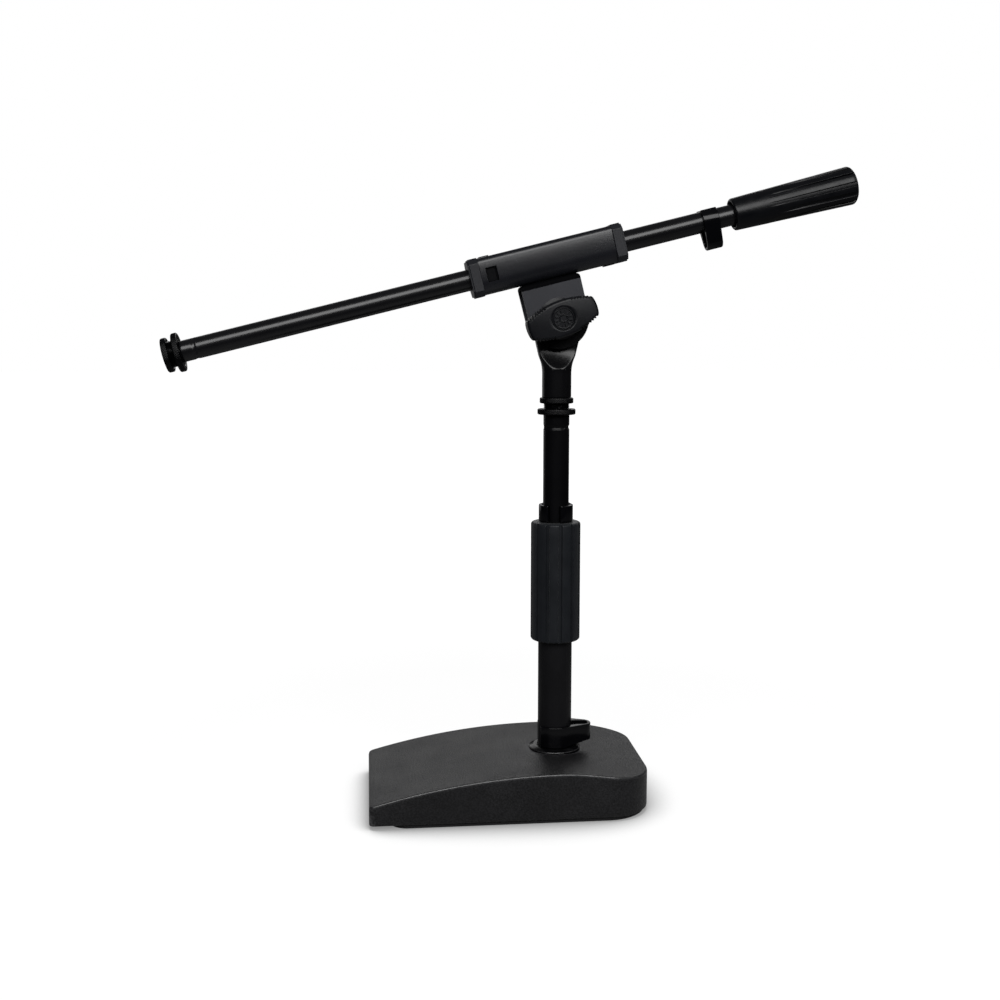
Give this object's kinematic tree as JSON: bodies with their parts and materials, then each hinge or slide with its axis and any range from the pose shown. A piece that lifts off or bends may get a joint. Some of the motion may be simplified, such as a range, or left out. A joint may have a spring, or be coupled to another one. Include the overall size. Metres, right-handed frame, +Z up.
{
  "type": "boom microphone stand",
  "caption": "Short boom microphone stand: sloped weighted base, twist-clutch pole, tilting head with wing knob, sliding boom with threaded tip, fluted handle and cable clips.",
  "frame": {"origin": "pole axis on the table plane, in the middle of the pad under the weighted base", "axes": "+Z up along the pole, +X along the base and boom towards the handle and the tall end of the base, -Y towards the wing knob"},
  "size_m": [0.4195, 0.104, 0.3901],
  "materials": {
    "base_coat": "fine-textured satin black powder coat over cast iron",
    "tube_coat": "satin black coating on steel tube",
    "boom_coat": "semi-gloss black coating on steel tube",
    "head_coat": "satin black coating on die-cast and pressed metal",
    "ring_black": "knurled, black oxide, slightly glossy",
    "collar_black": "turned, semi-gloss black",
    "zinc_steel": "zinc plated, turned or cold headed",
    "grip_rubber": "ribbed soft-touch moulding, matte black",
    "handle_rubber": "fluted soft-touch moulding, matte black",
    "knob_plastic": "moulded, fine grain",
    "cap_plastic": "moulded, matte dark grey",
    "clip_plastic": "moulded, glossy black",
    "nylon": "moulded nylon",
    "pad_rubber": "matte black sheet",
    "brass": "plain turned"
  },
  "bodies": {
    "stand_base": {"base_casting": "base_coat", "base_pad": "pad_rubber", "base_bolt": "zinc_steel", "base_washer": "zinc_steel", "foot_collar": "collar_black", "foot_plug": "zinc_steel", "lower_tube": "tube_coat", "clutch_seat": "zinc_steel", "clutch_collet": "nylon"},
    "clutch": {"clutch_nut": "zinc_steel", "clutch_grip": "grip_rubber"},
    "lower_clip": {"cable_clip_lower": "clip_plastic"},
    "middle_clip": {"cable_clip_middle": "clip_plastic"},
    "pole_slider": {"pole_bush": "nylon"},
    "pole": {"upper_tube": "tube_coat", "pole_insert": "ring_black", "pole_stop_ring": "ring_black", "head_stud": "zinc_steel", "head_socket": "head_coat", "friction_discs": "nylon"},
    "pole_ring": {"pole_lock_ring": "ring_black"},
    "boom_head": {"boom_bracket": "head_coat", "boom_sleeve": "head_coat", "sleeve_cap_left": "cap_plastic", "sleeve_cap_right": "cap_plastic", "brake_block": "nylon", "pivot_bolt": "zinc_steel", "pivot_washer": "collar_black"},
    "wing_knob": {"tilt_knob": "knob_plastic", "knob_insert": "brass", "knob_cap": "knob_plastic"},
    "boom": {"boom_tube": "boom_coat", "mic_insert": "ring_black", "mic_stop_ring": "ring_black", "boom_end_plug": "nylon", "handle_grip": "handle_rubber"},
    "mic_ring": {"mic_lock_ring": "ring_black"},
    "boom_clip": {"cable_clip_boom": "clip_plastic"}
  },
  "joints": [
    {"name": "clutch_twist", "type": "hinge", "parent": "stand_base", "child": "clutch", "pos_m": [0, 0, 0.137], "axis": [0, 0, 1], "range_deg": [0, 180]},
    {"name": "lower_clip_swivel", "type": "hinge", "parent": "stand_base", "child": "lower_clip", "pos_m": [0, 0, 0.039], "axis": [0, 0, 1], "continuous": true},
    {"name": "middle_clip_swivel", "type": "hinge", "parent": "stand_base", "child": "middle_clip", "pos_m": [0, 0, 0.18], "axis": [0, 0, 1], "continuous": true},
    {"name": "pole_height", "type": "slide", "parent": "stand_base", "child": "pole_slider", "axis": [0, 0, 1], "range_m": [-0.05, 0.022]},
    {"name": "pole_swivel", "type": "hinge", "parent": "pole_slider", "child": "pole", "pos_m": [0, 0, 0.1], "axis": [0, 0, 1], "continuous": true},
    {"name": "pole_ring_spin", "type": "hinge", "parent": "pole", "child": "pole_ring", "pos_m": [0, 0, 0.2489], "axis": [0, 0, 1], "range_deg": [-360, 0]},
    {"name": "boom_tilt", "type": "hinge", "parent": "pole", "child": "boom_head", "pos_m": [0, 0, 0.298], "axis": [0, -1, 0], "range_deg": [-59, 46]},
    {"name": "knob_turn", "type": "hinge", "parent": "boom_head", "child": "wing_knob", "pos_m": [0, -0.02, 0.298], "axis": [0, -1, 0], "range_deg": [0, 360]},
    {"name": "boom_slide", "type": "slide", "parent": "boom_head", "child": "boom", "axis": [0.9703, 0, 0.2419], "range_m": [-0.048, 0.17]},
    {"name": "mic_ring_spin", "type": "hinge", "parent": "boom", "child": "mic_ring", "pos_m": [-0.23134, 0, 0.27639], "axis": [0.9703, 0, 0.2419], "range_deg": [-360, 0]},
    {"name": "boom_clip_swivel", "type": "hinge", "parent": "boom", "child": "boom_clip", "pos_m": [0.09235, 0, 0.3571], "axis": [0.9703, 0, 0.2419], "continuous": true}
  ]
}
